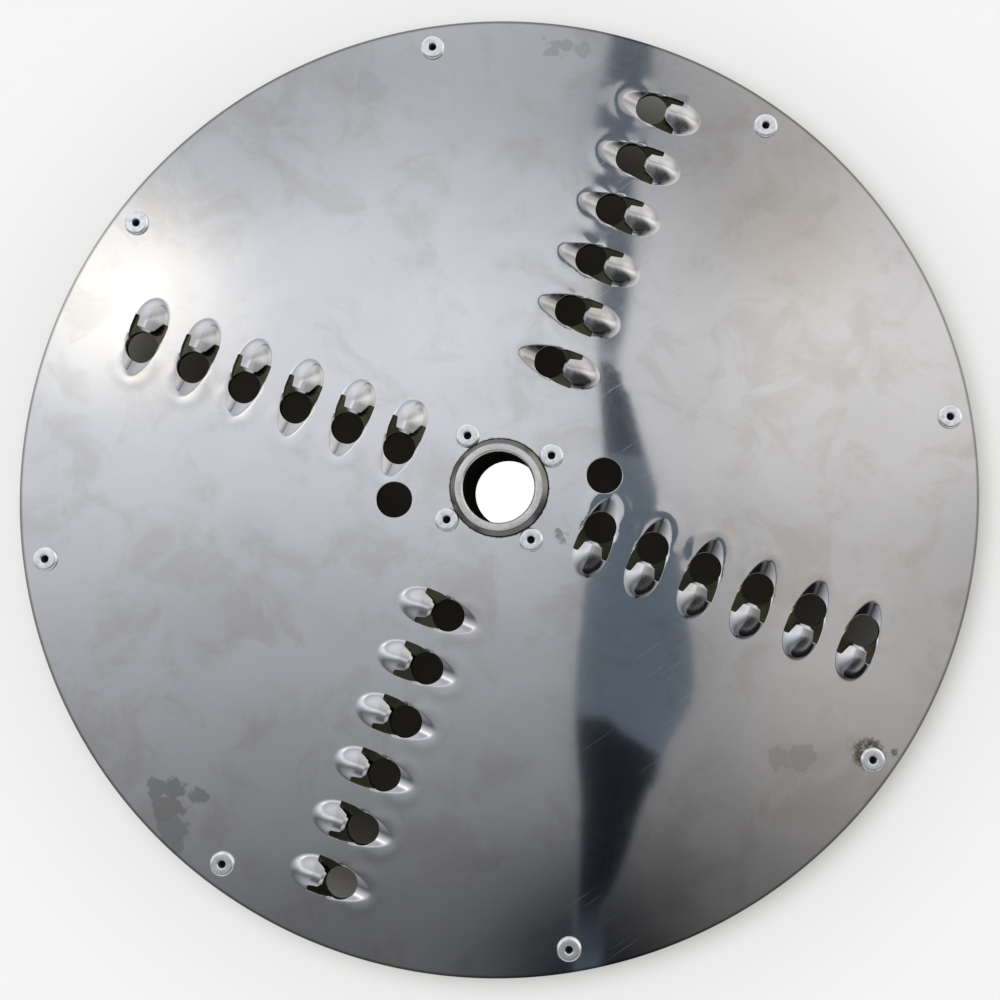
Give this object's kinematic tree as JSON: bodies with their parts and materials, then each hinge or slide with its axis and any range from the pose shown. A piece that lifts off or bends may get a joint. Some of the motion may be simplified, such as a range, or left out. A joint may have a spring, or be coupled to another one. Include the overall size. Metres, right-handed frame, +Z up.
{
  "type": "shredding disc",
  "caption": "Round steel disc with rows of raised scoop teeth and a turned hub, riveted, for shredding food in a vegetable cutting machine.",
  "frame": {"origin": "on the hub's axis at the foot of the hub, on which the disc stands", "axes": "+Z up along the hub's axis to the cutting side; +X and +Y along two of the four rows of teeth; the teeth cut when the disc turns anticlockwise about +Z"},
  "size_m": [0.325, 0.325, 0.0355],
  "materials": {
    "sheet_steel": "worn stainless sheet, hazy and finely scratched, with water stains",
    "backing_steel": "dull steel plate, darkened between the plates",
    "hub_steel": "turned steel, dulled on the chamfer",
    "rivet_aluminium": "satin blind rivets, a little grimy",
    "stem_steel": "dark broken mandrel ends"
  },
  "bodies": {
    "root": {"cutting_plate": "sheet_steel", "backing_plate": "backing_steel", "hub": "hub_steel", "rim_rivets": "rivet_aluminium", "hub_rivets": "rivet_aluminium", "rim_rivet_stems": "stem_steel", "hub_rivet_stems": "stem_steel"}
  },
  "joints": []
}
